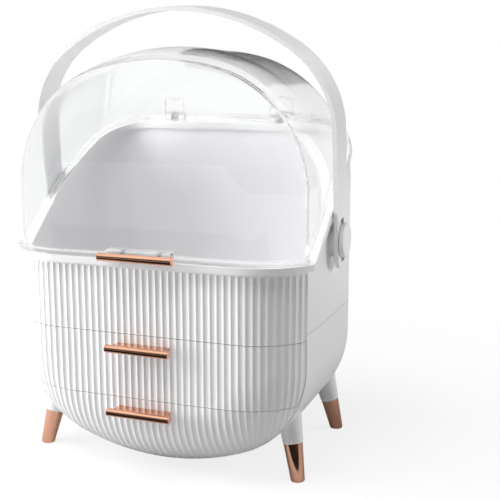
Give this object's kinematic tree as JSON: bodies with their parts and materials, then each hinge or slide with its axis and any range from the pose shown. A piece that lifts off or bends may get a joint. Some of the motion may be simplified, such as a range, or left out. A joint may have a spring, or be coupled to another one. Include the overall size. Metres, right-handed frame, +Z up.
{
  "type": "makeup organizer",
  "caption": "Egg-shaped makeup organizer with a clear tilting hood, a fluted front with drawers, an arched carrying handle and splayed feet.",
  "frame": {"origin": "centre of the bounding box's bottom face, on the table under the feet", "axes": "+X to the right seen from the front, +Y to the back, +Z up"},
  "size_m": [0.2964, 0.216, 0.3995],
  "materials": {
    "white_plastic": "satin gloss",
    "clear_plastic": "clear polished",
    "rose_gold": "rose-gold plating",
    "steel": "plain"
  },
  "bodies": {
    "casing": {"lower_casing": "white_plastic", "upper_casing": "white_plastic", "front_band": "white_plastic", "drawer_shelf": "white_plastic", "lower_runners": "white_plastic", "hinge_pin_left": "steel", "hinge_pin_right": "steel", "pivot_hub_left": "white_plastic", "pivot_hub_right": "white_plastic", "pivot_cap_left": "white_plastic", "pivot_cap_right": "white_plastic", "pivot_screws": "steel", "foot_front_left": "rose_gold", "foot_front_right": "rose_gold", "foot_rear_left": "rose_gold", "foot_rear_right": "rose_gold"},
    "hood": {"hood": "clear_plastic", "hood_pull": "rose_gold", "hood_pull_screws": "steel"},
    "handle": {"handle": "white_plastic"},
    "drawer_upper": {"drawer_front_upper": "white_plastic", "drawer_box_upper": "white_plastic", "pull_upper": "rose_gold", "pull_screws_upper": "steel"},
    "drawer_lower": {"drawer_front_lower": "white_plastic", "drawer_box_lower": "white_plastic", "pull_lower": "rose_gold", "pull_screws_lower": "steel"}
  },
  "joints": [
    {"name": "hood_open", "type": "hinge", "parent": "casing", "child": "hood", "pos_m": [0, 0.104, 0.29927], "axis": [-1, 0, 0], "range_deg": [0, 75]},
    {"name": "handle_fold", "type": "hinge", "parent": "casing", "child": "handle", "pos_m": [0, 0.0058, 0.19975], "axis": [-1, 0, 0], "range_deg": [0, 135]},
    {"name": "drawer_upper_slide", "type": "slide", "parent": "casing", "child": "drawer_upper", "axis": [0, -1, 0], "range_m": [0, 0.11]},
    {"name": "drawer_lower_slide", "type": "slide", "parent": "casing", "child": "drawer_lower", "axis": [0, -1, 0], "range_m": [0, 0.11]}
  ],
  "couplings": [
    {"joint": "handle_fold", "follows": "hood_open", "ratio": 1.8}
  ]
}
